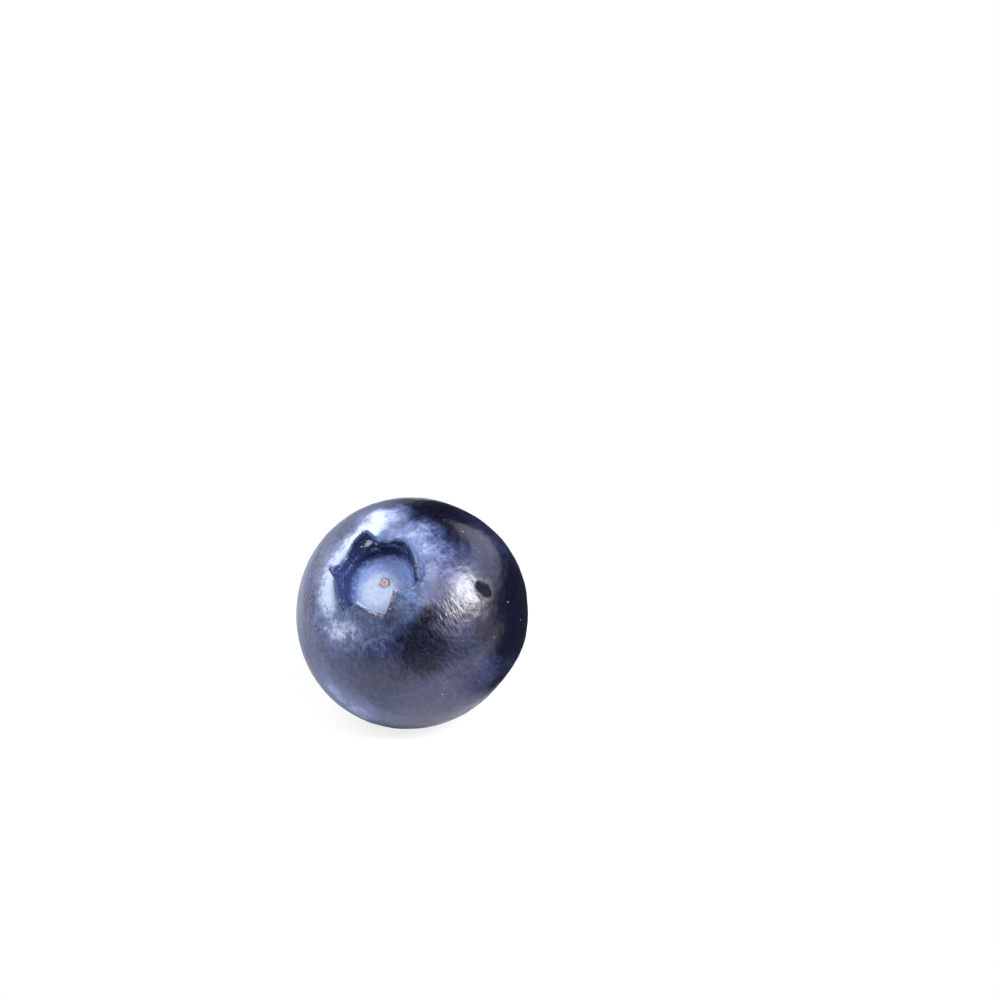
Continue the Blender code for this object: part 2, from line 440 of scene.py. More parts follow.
class BLUEBERRY_PG_colours(PropertyGroup):
    """The colours of skin, wax, crown and scars."""

    skin: colour("Skin", (0.0026, 0.0034, 0.0095), "Blue-black skin where the wax is rubbed off")
    thin_bloom: colour("Thin bloom", (0.031, 0.042, 0.107), "Skin under a thin film of wax")
    bloom: colour("Bloom", (0.107, 0.140, 0.258), "Skin under its usual bloom of wax")
    thick_bloom: colour("Thick bloom", (0.43, 0.49, 0.65), "Skin where the wax lies thickest")
    rubbed: colour("Rubbed wax", (0.042, 0.048, 0.088), "Specks of wax left where it is rubbed")
    blush: colour("Blush", (0.30, 0.22, 0.30), "Pinkish tint in the wax")
    worn_skin: colour("Worn skin", (0.020, 0.012, 0.016), "Brownish specks of bare skin")
    dust: colour("Dust", (0.054, 0.051, 0.074), "Thin wax that is dull and greyish")
    chafed: colour("Chafed", (0.18, 0.150, 0.180), "Crests of the wrinkles")
    pit: colour("Pit", (0.003, 0.0035, 0.010), "Floor of the small pit")
    crown: colour("Crown", (0.011, 0.034, 0.155), "Inside of the crown's wall")
    # Dark navy inside the wall near its edge: real colour, and painted shade under the lip.
    crown_rim_and_shade: colour("Crown rim", (0.0025, 0.011, 0.066), "Inside of the wall near its edge")
    crown_crumb: colour("Crown crumb", (0.72, 0.77, 0.88), "Crumbs of wax inside the crown")
    lobe_bloom: colour("Lobe bloom", (0.066, 0.126, 0.275), "Waxy blotches outside the lobes")
    lobe_bare: colour("Lobe bare", (0.022, 0.038, 0.085), "The lobes between those blotches")
    # Painted shade on the front lobe, where it is darkest.
    lobe_painted_shade: colour("Lobe shade", (0.014, 0.015, 0.028), "Where the front lobe is darkest")
    disc: colour("Disc", (0.385, 0.455, 0.56), "Disc at the bottom of the crown")
    disc_fibre: colour("Disc fibre", (0.55, 0.54, 0.60), "Drier fibres of the disc")
    disc_edge: colour("Disc edge", (0.17, 0.245, 0.52), "Outer part of the disc")
    dry_edge: colour("Dry edge", (0.060, 0.045, 0.062), "Dry edge of the lobes")
    dry_crumb: colour("Dry crumb", (0.32, 0.27, 0.34), "Crumbs of dry skin along that edge")
    style_scar: colour("Style scar", (0.46, 0.33, 0.33), "Scar in the middle of the disc")
    style_middle: colour("Style scar middle", (0.42, 0.15, 0.09), "Middle of that scar")
    style_ring: colour("Style scar ring", (0.030, 0.020, 0.035), "Dark ring round that scar")
    cork: colour("Cork", (0.26, 0.17, 0.10), "Scar that the stem left")
    fleck: colour("Fleck", (0.70, 0.74, 0.84), "Loose flecks of wax")


class BLUEBERRY_PG_scatter(PropertyGroup):
    """The small things on the crown's edge and the skin."""

    flake_size: length("Flake size", 0.00009, "Radius of a dry flake on the crown's edge")
    flake_density: number("Flake density", 4.0e6, "Flakes on a square metre of that edge")
    fleck_size: length("Fleck size", 0.00004, "Radius of a fleck of wax on the skin")
    fleck_density: number("Fleck density", 4.5e4, "Flecks of wax on a square metre of skin")
    seed: IntProperty(name="Seed", default=5, description="Draws where flakes and flecks lie")


def own_properties(settings):
    """The properties that a group declares itself."""
    return [p for p in settings.bl_rna.properties if p.identifier in settings.__annotations__]


def new_tree(name, settings, material):
    """A tree with one named input for each setting, and one for the material."""
    tree = bpy.data.node_groups.new(name, "GeometryNodeTree")
    tree.interface.new_socket("Geometry", in_out="OUTPUT", socket_type="NodeSocketGeometry")
    values = {}
    for prop in own_properties(settings):
        kind = "NodeSocketInt" if prop.type == "INT" else "NodeSocketFloat"
        socket = tree.interface.new_socket(prop.name, in_out="INPUT", socket_type=kind)
        socket.description = prop.description
        if prop.subtype in {"DISTANCE", "ANGLE"}:
            socket.subtype = prop.subtype
        values[prop.identifier] = (socket.identifier, getattr(settings, prop.identifier))
    socket = tree.interface.new_socket("Material", in_out="INPUT", socket_type="NodeSocketMaterial")
    values["material"] = (socket.identifier, material)
    entry = tree.nodes.new("NodeGroupInput")
    outputs = {output.identifier: Field(output) for output in entry.outputs}
    fields = {name: outputs[identifier] for name, (identifier, _) in values.items()}
    return tree, SimpleNamespace(**fields), dict(values.values())


def changed(geometry, kind, **values):
    """The geometry after one more node of this kind."""
    return result(geometry.tree, "GeometryNode" + kind, {"Geometry": geometry, **values})


def position(tree):
    return result(tree, "GeometryNodeInputPosition")


def store(geometry, name, value):
    """The geometry with this value kept on its points under a name."""
    values = {"Geometry": geometry, "Name": name, "Value": value}
    return result(
        geometry.tree,
        "GeometryNodeStoreNamedAttribute",
        values,
        data_type="FLOAT_VECTOR" if holds_vector(value) else "FLOAT",
        domain="POINT",
    )


def stored(tree, name, kind="FLOAT"):
    """A value kept on the points of the mesh that the tree works on."""
    values = {"Name": name}
    return result(tree, "GeometryNodeInputNamedAttribute", values, "Attribute", data_type=kind)


def end_tree(geometry, material):
    """The tree's last nodes: smooth shading, real geometry, the material and the output."""
    geometry = changed(geometry, "SetShadeSmooth")
    geometry = changed(geometry, "RealizeInstances")
    geometry = changed(geometry, "SetMaterial", Material=material)
    feed(geometry.tree.nodes.new("NodeGroupOutput").inputs["Geometry"], geometry)


def grow(name, tree, values):
    """A plain mesh object grown by the tree, whose modifier is gone again."""
    piece = bpy.data.objects.new(name, bpy.data.meshes.new(name + "_start"))
    bpy.context.scene.collection.objects.link(piece)
    modifier = piece.modifiers.new("Form", "NODES")
    modifier.node_group = tree
    for identifier, value in values.items():
        modifier[identifier] = value
    graph = bpy.context.evaluated_depsgraph_get()
    mesh = bpy.data.meshes.new_from_object(
        piece.evaluated_get(graph),
        preserve_all_data_layers=True,
        depsgraph=graph,
    )
    piece.modifiers.clear()
    piece.data = mesh
    mesh.name = name
    if not mesh.polygons:
        raise RuntimeError(f"{name} came out with no faces")
    return piece


def bezier(points, share):
    """The point at this share of the curve through these control points."""
    while len(points) > 1:
        points = [mix(a, b, share) for a, b in zip(points, points[1:])]
    return points[0]


def edge_curve(share, column, size):
    """One column of the crown's edge as a curve round the axis, in metres."""
    low = min(corner[column] for corner in CROWN_EDGE)
    high = max(corner[column] for corner in CROWN_EDGE)
    made = add_node(share.tree, "ShaderNodeFloatCurve", {"Value": share})
    curve = made.mapping.curves[0]
    first = (CROWN_EDGE[0][column] - low) / (high - low)
    curve.points[0].location = (0.0, first)
    curve.points[1].location = (1.0, first)
    for corner in CROWN_EDGE[1:]:
        curve.points.new(corner[0] / 360, (corner[column] - low) / (high - low))
    for point in curve.points:
        point.handle_type = "VECTOR"
    made.mapping.update()
    return mix(low, high, Field(made.outputs["Value"])) * size


def button_profile(size, share, *_):
    """The style's scar, a low round button with a dimple, out to the disc."""
    drop = rise(share, 0.62, 0.98)
    dimple = hump(share, 0.0, 0.3) * 0.35
    level = size.disc_level + size.disc_swell + size.button_height * (1 - drop - dimple)
    return vector(size.button_radius * BUTTON_REACH * share, 0.0, level)


def disc_profile(size, share, *_):
    """The disc, swollen midway, from the style's scar out to its flat edge."""
    radius = mix(size.button_radius * BUTTON_REACH, size.disc_radius, share)
    swell = calculate("SINE", (1 - share) * (math.pi / 2))
    return vector(radius, 0.0, size.disc_level + size.disc_swell * swell)


def inner_wall_profile(size, share, reach, level):
    """Up the inside of the crown's wall."""
    points = (
        (size.disc_radius, size.disc_level),
        (size.corner_radius, size.disc_level),
        (size.corner_radius, mix(size.disc_level, level, 0.6)),
        (reach - size.edge_thickness / 2, level),
    )
    return bezier([vector(radius, 0.0, height) for radius, height in points], share)


def edge_profile(size, share, reach, level):
    """Over the edge of the crown's wall in a half round."""
    turn = share * math.pi
    radius = reach - size.edge_thickness / 2 * calculate("COSINE", turn)
    return vector(radius, 0.0, level + size.edge_crowning * calculate("SINE", turn))


def skin_level(size, radius):
    """Height of the skin above the berry's middle on its crown side."""
    share = radius / size.equator_radius
    return size.half_height * calculate("SQRT", 1 - share * share)


def outer_wall_profile(size, share, reach, level):
    """Down the outside of the crown's wall to its foot on the skin."""
    foot_level = skin_level(size, size.foot_radius)
    easing = (size.foot_radius - size.waist_radius) * 0.6
    flatness = size.half_height / size.equator_radius
    slope = flatness * flatness * size.foot_radius / foot_level
    points = (
        (reach + size.edge_thickness / 2, level),
        (size.waist_radius, size.waist_level),
        (size.foot_radius - easing, foot_level + easing * slope),
        (size.foot_radius, foot_level),
    )
    return bezier([vector(radius, 0.0, height) for radius, height in points], share)


def stem_level(size, radius):
    """Height of the skin on its stem side, drawn in round the scar."""
    return size.hollow_depth * falloff(radius / size.hollow_radius) - skin_level(size, radius)


def skin_profile(size, share, *_):
    """The skin, from the crown's foot round to just outside the stem scar."""
    last_radius = size.stem_scar_radius * STEM_SCAR_REACH
    first = calculate("ARCSINE", size.foot_radius / size.equator_radius)
    last = math.pi - calculate("ARCSINE", last_radius / size.equator_radius)
    polar = mix(first, last, share)
    radius = size.equator_radius * calculate("SINE", polar)
    on_stem_side = calculate("GREATER_THAN", polar, math.pi / 2)
    level = mix(skin_level(size, radius), stem_level(size, radius), on_stem_side)
    return vector(radius, 0.0, level)


def stem_scar_profile(size, share, *_):
    """Over the lip of the stem scar and down into its corky cup."""
    radius = size.stem_scar_radius * STEM_SCAR_REACH * (1 - share)
    outward = radius / size.stem_scar_radius
    lip = size.stem_lip_height * hump(outward, 1.0, 0.16)
    cup = size.stem_scar_depth * (1 - rise(outward, 0.45, 0.95))
    return vector(radius, 0.0, stem_level(size, radius) - lip + cup)


PROFILES = {
    "button": button_profile,
    "disc": disc_profile,
    "inner": inner_wall_profile,
    "edge": edge_profile,
    "outer": outer_wall_profile,
    "skin": skin_profile,
    "stem": stem_scar_profile,
}


def lofted_profile(size, ring, reach, level):
    """The point of the whole profile at this ring."""
    point = None
    for part, profile in PROFILES.items():
        start = float(STARTS[part])
        values = {"Value": ring, "From Min": start, "From Max": start + RINGS[part]}
        here = profile(size, result(ring.tree, "ShaderNodeMapRange", values), reach, level)
        if point is None:
            point = here
            continue
        past = calculate("GREATER_THAN", ring, start + 0.01)
        values = {"Switch": past, "False": point, "True": here}
        point = result(ring.tree, "GeometryNodeSwitch", values, "Output", input_type="VECTOR")
    return point


def swollen(point, size):
    """The point moved out by the skin's waves and cheeks."""
    x, y, _ = point.parts()
    width = (x * x + y * y) / (size.equator_radius * size.equator_radius)
    turn = round_axis(point)
    heading = unit(point)
    share = width * 0.0
    for waves, height, phase in SKIN_WAVES:
        share = share + calculate("COSINE", turn * waves + phase) * width * height
    for polar, around, spread, height in CHEEKS:
        away = calculate("DOT_PRODUCT", heading, direction(polar, around))
        away = calculate("ARCCOSINE", away) / math.radians(spread)
        share = share + falloff(away) * height
    return point * (1 + share)


def wax_and_shade_patches(heading):
    """How much thicker or thinner than usual the wax lies here, with thin patches below the front
    lobes that are painted shade.
    """
    amounts = [near(heading, *patch[:3]) * patch[3] for patch in WAX_AND_SHADE_PATCHES]
    return sum(amounts[1:], start=amounts[0])


def fine_relief(tree, size):
    """How far each point of the finished form stands out from its smooth one, in metres."""
    place = stored(tree, "own_place", "FLOAT_VECTOR")
    inside = stored(tree, "inside")
    wall = stored(tree, "wall")

    def waves(name, where=place):
        scale, detail, height = RELIEF[name]
        return (noise(where, scale, detail, seed=size.seed) - 0.5) * height

    pleats = waves("pleats", wrapped(place, 3.0, place.parts()[2] * 0.8))
    ledge = hump(wall, 0.42, 0.12) * 0.014 - hump(wall, 0.72, 0.10) * 0.006
    skin = waves("uneven") + waves("pebbles") + pleats * wall * 0.6
    hollow = pleats * wall + ledge + waves("hollow")
    pit = falloff(calculate("DISTANCE", unit(place), direction(*PIT_DENT)) / PIT_RADIUS)
    share = (skin + pit * -PIT_DEPTH) * (1 - inside) + hollow * inside
    return share * size.equator_radius * size.relief


def ring_masks(ring):
    """What each part of the profile is, as shares that the relief and the finish read."""
    inner_climb = rise(ring, float(STARTS["inner"]), float(STARTS["edge"]))
    outer_climb = 1 - rise(ring, float(STARTS["outer"]), float(STARTS["skin"]))
    return {
        "inside": 1 - rise(ring, MIDDLE_OF_EDGE - 3.0, MIDDLE_OF_EDGE + 3.0),
        "wall": inner_climb * outer_climb,
        "edge": hump(ring, MIDDLE_OF_EDGE, 2.6),
        "button": 1 - rise(ring, 0.5, RINGS["button"] + 0.5),
        "button_ring": hump(ring, RINGS["button"] + 0.2, 1.0),
        "stem_scar": rise(ring, STARTS["stem"] + 3.0, STARTS["stem"] + 8.0),
    }


def berry_tree(settings, material):
    """The tree that grows the berry from its profile, and the values of its inputs."""
    tree, size, values = new_tree("Berry form", settings, material)
    rings = sum(RINGS.values())
    ball = {"Segments": AROUND, "Rings": rings, "Radius": 1.0}
    geometry = result(tree, "GeometryNodeMeshUVSphere", ball)
    spot = position(tree)
    turn = round_axis(spot)
    ring = calculate("ARCTAN2", from_axis(spot), spot.parts()[2]) * (rings / math.pi)
    bearing = wrapped(spot, 1.0, 0.0)
    tears = noise(bearing, 15.0, 4.0, 0.65, size.seed) - 0.5
    nibbles = noise(bearing, 42.0, 2.0, 0.5, size.seed) - 0.5
    turn_share = calculate("FRACT", turn / math.tau + 1.0)
    reach = edge_curve(turn_share, 1, size.equator_radius) + size.raggedness * nibbles * 0.7
    level = edge_curve(turn_share, 2, size.equator_radius) + size.raggedness * (tears + nibbles)
    flat_point = lofted_profile(size, ring, reach, level)
    to_turn = {"Vector": flat_point, "Angle": turn}
    point = result(tree, "ShaderNodeVectorRotate", to_turn, rotation_type="Z_AXIS")
    off_middle = rise(flat_point.parts()[0] / size.disc_radius, 1.0, 0.0)
    on_disc = calculate("LESS_THAN", ring, float(STARTS["inner"]))
    shift = vector(size.disc_shift_x, size.disc_shift_y, 0.0) * (off_middle * on_disc)
    point = swollen(point + shift, size)
    for name, mask in ring_masks(ring).items():
        geometry = store(geometry, name, mask)
    geometry = changed(geometry, "SetPosition", Position=point)
    geometry = store(geometry, "own_place", spot / size.equator_radius)
    place = stored(tree, "own_place", "FLOAT_VECTOR")
    heading = unit(place + wobble(place, *WAX_BEND, size.seed) * 0.30)
    geometry = store(geometry, "wax", wax_and_shade_patches(heading))
    normal = result(tree, "GeometryNodeInputNormal", output="Normal")
    geometry = changed(geometry, "SetPosition", Offset=normal * fine_relief(tree, size))
    end_tree(lay_down(geometry, size), size.material)
    return tree, values


def lay_down(geometry, size):
    """The upright berry turned to how it lies, moved to its place and flattened where it rests."""
    for turn in ((0.0, 0.0, size.spin), (0.0, size.lean, 0.0), (0.0, 0.0, size.heading)):
        geometry = changed(geometry, "Transform", Rotation=vector(*turn))
    geometry = changed(geometry, "Transform", Translation=BERRY_MIDDLE)
    x, y, z = position(geometry.tree).parts()
    return changed(geometry, "SetPosition", Position=vector(x, y, calculate("MAXIMUM", z, 0.0)))


def lump(tree, flatness, seed):
    """A small uneven lump of unit size, flattened along its own Z."""
    ball = result(tree, "GeometryNodeMeshIcoSphere", {"Radius": 1.0, "Subdivisions": 2})
    place = position(tree)
    x, y, z = (place * (0.7 + noise(place, 1.3, seed=seed) * 0.6)).parts()
    return changed(ball, "SetPosition", Position=vector(x, y * 0.7, z * flatness))


def random_size(size, seed):
    """A size from 0.45 to 1.35 times the given one, drawn for each copy."""
    made = add_node(size.tree, "FunctionNodeRandomValue", data_type="FLOAT")
    enabled = [socket for socket in made.inputs if socket.enabled]
    for socket, value in zip(enabled[:2], (0.45, 1.35)):
        socket.default_value = value
    feed(made.inputs["Seed"], seed)
    return Field(next(output for output in made.outputs if output.enabled)) * size


def scatter(berry, chosen, density, shape, size, given):
    """Ends the tree with copies of the shape on the chosen part of the berry."""
    tree = chosen.tree
    skin = result(tree, "GeometryNodeObjectInfo", {"Object": berry}, "Geometry")
    values = {"Mesh": skin, "Selection": chosen, "Density": density, "Seed": given.seed}
    made = add_node(tree, "GeometryNodeDistributePointsOnFaces", values)
    values = {
        "Points": Field(made.outputs["Points"]),
        "Instance": shape,
        "Rotation": Field(made.outputs["Rotation"]),
        "Scale": random_size(size, given.seed),
    }
    end_tree(result(tree, "GeometryNodeInstanceOnPoints", values), given.material)


def flakes_tree(settings, material, berry):
    """The tree that scatters dry flakes along the crown's edge."""
    tree, given, values = new_tree("Dry flakes", settings, material)
    place = stored(tree, "own_place", "FLOAT_VECTOR")
    heading = unit(place)
    worn = at(heading, "worn edge") * 0.16 - at(heading, "clean edge") * 0.22
    clusters = calculate("GREATER_THAN", pattern(place, "dry edge") + worn, 0.56)
    chosen = calculate("GREATER_THAN", stored(tree, "edge") * clusters, 0.55)
    scatter(berry, chosen, given.flake_density, lump(tree, 0.35, 2.0), given.flake_size, given)
    return tree, values


def flecks_tree(settings, material, berry):
    """The tree that scatters flecks of wax over the skin."""
    tree, given, values = new_tree("Wax flecks", settings, material)
    on_skin = calculate("LESS_THAN", stored(tree, "wall") + stored(tree, "inside"), 0.02)
    chosen = on_skin * calculate("GREATER_THAN", position(tree).parts()[2], 0.0006)
    scatter(berry, chosen, given.fleck_density, lump(tree, 0.5, 5.0), given.fleck_size, given)
    return tree, values


def new_material(name, preview):
    """A material with its node tree and its Principled shader."""
    material = bpy.data.materials.new(name)
    material.use_nodes = True
    material.diffuse_color = (*preview, 1.0)
    return material, material.node_tree, material.node_tree.nodes["Principled BSDF"]


def attribute(tree, name, output="Fac"):
    """A value that the mesh carries under this name."""
    return result(tree, "ShaderNodeAttribute", None, output, attribute_name=name)


def paint(under, over, share):
    """One colour laid over another by this share. Colours are fields or three numbers."""
    made = add_node(share.tree, "ShaderNodeMix", data_type="RGBA", clamp_factor=True)
    sockets = {socket.name: socket for socket in made.inputs if socket.enabled}
    for name, value in (("A", under), ("B", over)):
        feed(sockets[name], value if isinstance(value, Field) else (*value, 1.0))
    feed(sockets["Factor"], share)
    return Field(next(output for output in made.outputs if output.enabled))


def painted(base, layers):
    """The base under these layers, each a colour and its share."""
    for over, share in layers:
        base = paint(base, over, share)
    return base


def bump(height, distance, below=None):
    """A normal tilted by the height, which is from 0 to 1 over this distance in metres."""
    values = {"Height": height, "Distance": distance}
    if below is not None:
        values["Normal"] = below
    return result(height.tree, "ShaderNodeBump", values)


def skin_wax(heading, place, mottle, grain, ridges):
    """How thick the wax lies on the skin: below 0 where it is rubbed off, above 1 at its thickest."""
    polar = calculate("ARCCOSINE", heading.parts()[2])
    streaks = pattern(wrapped(heading, 4.0, polar * 0.9), "streaks") - 0.5
    arcs = pattern(wrapped(heading, 1.4, polar * 9.0), "skin arcs") - 0.5
    weave = pattern(wrapped(heading, 32.0, polar * 16.0), "weave") - 0.5
    dots = rise(pattern(place, "dots"), 0.58, 0.78)
    cracks = pattern(place + wobble(place, *CRACK_BEND) * 0.10, "cracks") - 0.5
    cracks = rise(calculate("ABSOLUTE", cracks), 0.055, 0.0)
    curds = pattern(place, "curds") - 0.5
    round_crown = hump(polar, 0.56, 0.20) * 0.28
    patches = (pattern(place, "patches") - 0.5) * 0.35
    # The stored wax also carries the painted shade below the front lobes.
    film = 0.29 + attribute(heading.tree, "wax") + round_crown + patches
    film = calculate("MAXIMUM", film, -0.44)
    loose = rise(polar, 1.05, 0.70) * rise(film, -0.05, 0.45) * rise(film, 2.0, 1.1)
    loose = loose * (1 - at(heading, "smooth wax") * 0.55)
    even = 1 - at(heading, "even wax") * 0.50
    torn = mottle * 1.4 + curds * 0.8 + streaks * 0.5 + arcs * 0.45 - cracks * 0.14
    torn = calculate("MAXIMUM", torn, -0.30) * even
    gritty = calculate("MAXIMUM", grain, -0.05)
    film = film + torn * (0.36 + loose * 0.66) + gritty * (0.48 + loose * 0.30) + dots * 0.20
    scuffed = rise(film, 0.40, -0.10) * at(heading, "rubbed side") * 1.25
    film = film + weave * (scuffed + even * 0.24)
    return film + (ridges - 0.48) * at(heading, "wrinkles") * 1.5


def skin_colour(colours, wax, heading, place, grain):
    """The colour of the skin under wax of this thickness."""
    waxed = rise(wax, -0.30, 0.45)
    specks = rise(pattern(place, "specks") + grain * 0.5, 0.55, 0.75)
    pepper = rise(pattern(place, "pepper"), 0.49, 0.62) * at(heading, "rubbed side")
    blush = rise(pattern(place, "blush"), 0.48, 0.70)
    dull = rise(pattern(place, "dullness") + at(heading, "dusty side") * 0.25, 0.50, 0.75)
    layers = (
        (colours.thin_bloom, rise(wax, -0.42, 0.38)),
        (colours.bloom, rise(wax, 0.12, 0.85)),
        (colours.thick_bloom, rise(wax, 0.72, 1.45)),
        (colours.thin_bloom, specks * (waxed * 0.12 + 0.12)),
        (colours.rubbed, pepper * (1 - waxed * 0.8) * 0.46),
        (colours.blush, blush * waxed * 0.12),
        (colours.worn_skin, blush * (1 - waxed) * 0.4),
        (colours.dust, dull * rise(wax, 1.0, 0.5) * waxed * 0.65),
    )
    return painted(colours.skin, layers)


def hollow_colour(colours, heading, place, mottle, grain):
    """The colour inside the crown: a pale disc that turns navy up the wall, in arcs. The pale middle
    is shifted to the lit side as painted light, and the navy reaches further down on the shaded side
    as painted shade.
    """
    wall = attribute(place.tree, "wall")
    radius = from_axis(place)
    arcs = pattern(wrapped(place, 0.6, radius * 14.0 + wall * 2.4), "wall arcs") - 0.5
    fibres = pattern(wrapped(place, 5.0, radius * 7.0), "disc fibres") - 0.5
    # Painted light and shade: the disc's pale middle is shifted towards its lit side, and the wall's
    # navy reaches further down towards its shaded side.
    to_lit_side = calculate("DOT_PRODUCT", place, direction(90, DISC_LIT_SIDE))
    to_shaded_side = calculate("DOT_PRODUCT", place, direction(90, HOLLOW_SHADED_SIDE))
    pale = 1 - rise(radius - to_lit_side * 0.35 + mottle * 0.14 + fibres * 0.07, 0.09, 0.215)
    climb = radius + to_shaded_side * 0.22 + mottle * 0.10 + arcs * 0.14 + grain * 0.03
    frost = rise(pattern(place, "frost") + fibres * 0.3, 0.46, 0.66)
    # How high up the wall a point is, raised on the shaded side for the painted shade under the lip.
    high = wall + rise(wall, 0.0, 0.20) * to_shaded_side * 1.8 + arcs * 0.9 + mottle * 0.6
    far_out = rise(radius, 0.18, 0.26)
    crumbs = at(heading, "crown crumbs") * hump(wall, 0.80, 0.17) * 1.05
    crumbs = crumbs + (pattern(place, "crumbs") - 0.5) * 2.4
    layers = (
        (colours.crown, rise(climb, 0.225, 0.325)),
        (colours.disc, frost * rise(radius, 0.30, 0.22) * 0.55),
        # Painted shade: the darkest navy under the lip, reaching further down on the shaded side.
        (colours.crown_rim_and_shade, rise(high, 0.04, 0.40) * rise(radius, 0.23, 0.29)),
        (colours.disc_edge, rise(arcs + grain * 0.8, 0.05, 0.19) * far_out * 0.60),
        (colours.crown_rim_and_shade, rise(arcs + grain * 0.3, -0.03, -0.14) * far_out * 0.8),
        (colours.bloom, rise(pattern(place, "crown specks"), 0.66, 0.76) * 0.5),
        (colours.disc, pale * (0.92 + grain * 0.9 + fibres * 0.7)),
        (colours.disc_edge, rise(pattern(place, "clouds"), 0.44, 0.66) * pale * 0.35),
        (colours.disc_fibre, rise(pattern(place, "warm fibres"), 0.50, 0.70) * pale * 0.5),
        (colours.crown_crumb, rise(crumbs, 0.58, 0.90)),
    )
    return painted(colours.disc_edge, layers)


def wrinkle_ridges(place):
    """Fine parallel ridges, drawn out aslant of the wrinkled spot."""
    polar, turn, _ = SPOTS["wrinkles"]
    stroke = direction(polar + 90, turn) * 0.84 + direction(90, turn - 90) * 0.54
    stroke.normalize()
    along = calculate("DOT_PRODUCT", place, stroke)
    return pattern(place - scaled(stroke, along * 0.76), "ridges")


def pit_floor(heading, place, grain):
    """1 on the dark floor of the small pit, whose outline is slanted and uneven."""
    bent = heading + wobble(place, *PIT_BEND) * 0.070
    return rise(at(bent, "upper pit") + at(bent, "lower pit") + grain * 0.60, 0.10, 0.58)


def skin_material(colours):
    """Blue-black skin under patchy wax, with the crown's inside, edge and scars."""
    material, tree, shader = new_material("berry_skin_finish", colours.bloom)
    place = attribute(tree, "own_place", "Vector")
    heading = unit(place)
    inside, wall, button = (attribute(tree, name) for name in ("inside", "wall", "button"))
    mottle = pattern(place, "mottle") - 0.5
    grain = pattern(place, "grain") - 0.5
    ridges = wrinkle_ridges(place)
    wrinkled = at(heading, "wrinkles")
    pit = pit_floor(heading, place, grain)
    far_wall = at(heading, "far wall of pit")
    wax = skin_wax(heading, place, mottle, grain, ridges)
    lobes = wall * (1 - inside)
    blotched = rise(pattern(place, "lobe blotches"), 0.40, 0.60)
    # Painted shade on the front lobe, where it is darkest.
    shade = lobes * at(heading, "lobe painted shade") * rise(mottle, -0.12, 0.02)
    rim = pattern(place, "dry edge") - at(heading, "clean edge") * 0.22
    crumbs = paint(colours.dry_edge, colours.dry_crumb, rise(rim + grain, 0.52, 0.66))
    rim = rim + at(heading, "worn edge") * 0.16 + at(heading, "chipped edge") * 0.20
    worn = attribute(tree, "edge") * rise(rim, 0.52, 0.64)
    ring = attribute(tree, "button_ring") * rise(mottle + grain * 0.8, -0.12, 0.06)
    layers = (
        (colours.chafed, rise(ridges, 0.42, 0.64) * wrinkled * 0.4),
        (colours.pit, pit * (1 - rise(grain, 0.02, 0.10) * 0.12)),
        (colours.lobe_bloom, lobes * blotched * 0.95),
        (colours.lobe_bare, lobes * (1 - blotched) * 0.80),
        (colours.lobe_painted_shade, shade * 0.8),
        (colours.dry_edge, lobes * rise(mottle + 0.5, 0.40, 0.70) * 0.10),
        (hollow_colour(colours, heading, place, mottle, grain), inside),
        (crumbs, worn * 0.85),
        (colours.style_ring, ring * 0.9),
        (colours.style_scar, rise(button, 0.05, 0.35) * (0.95 + grain * 0.8)),
        (colours.style_middle, rise(button + grain * 0.5, 0.50, 0.85) * 0.85),
        (colours.cork, attribute(tree, "stem_scar") * (0.9 + grain)),
    )
    base = painted(skin_colour(colours, wax, heading, place, grain), layers)
    feed(shader.inputs["Base Color"], base)
    dull = at(heading, "dull spot") * 0.07 + at(heading, "dull foot") * 0.45 + far_wall * 0.30
    waxy = mix(rise(wax, -0.10, 0.80), 0.85, inside)
    feed(shader.inputs["Roughness"], 0.17 + waxy * 0.38 + grain * 0.10 + inside * 0.32 + dull)
    fibres = pattern(wrapped(place, 26.0, wall * 3.0), "wall fibres")
    normal = None
    for height, distance in (
        (pattern(place, "leather"), 0.000012),
        (fibres * inside * rise(wall, 0.0, 0.3), 0.00008),
        (ridges * wrinkled, 0.00007),
        (pattern(place, "pit floor") * pit, 0.00016),
        (pattern(place, "dust"), 0.000006),
    ):
        normal = bump(height, distance, normal)
    feed(shader.inputs["Normal"], normal)
    shader.inputs["IOR"].default_value = 1.46
    matt = calculate("MAXIMUM", pit, far_wall)
    feed(shader.inputs["Specular IOR Level"], 0.42 - matt * 0.33)
    return material


def small_material(name, tone, shade, roughness):
    """Dry or waxy crumbs, darker in places."""
    material, tree, shader = new_material(name, tone)
    place = result(tree, "ShaderNodeTexCoord", output="Object")
    blotches = pattern(place, "flake tones")
    feed(shader.inputs["Base Color"], paint(shade, tone, rise(blotches, 0.35, 0.65)))
    feed(shader.inputs["Roughness"], roughness + (blotches - 0.5) * 0.3)
    feed(shader.inputs["Normal"], bump(pattern(place, "flake relief"), 0.00001))
    return material


def dress(piece):
    """Hangs the piece on the empty of the body that it rides on."""
    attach(piece, BODY)


def add_scattered(context, name, make_tree, material):
    """Grows a piece that is scattered over the berry."""
    settings = context.scene.blueberry_scatter
    dress(grow(name, *make_tree(settings, material, bpy.data.objects["berry"])))


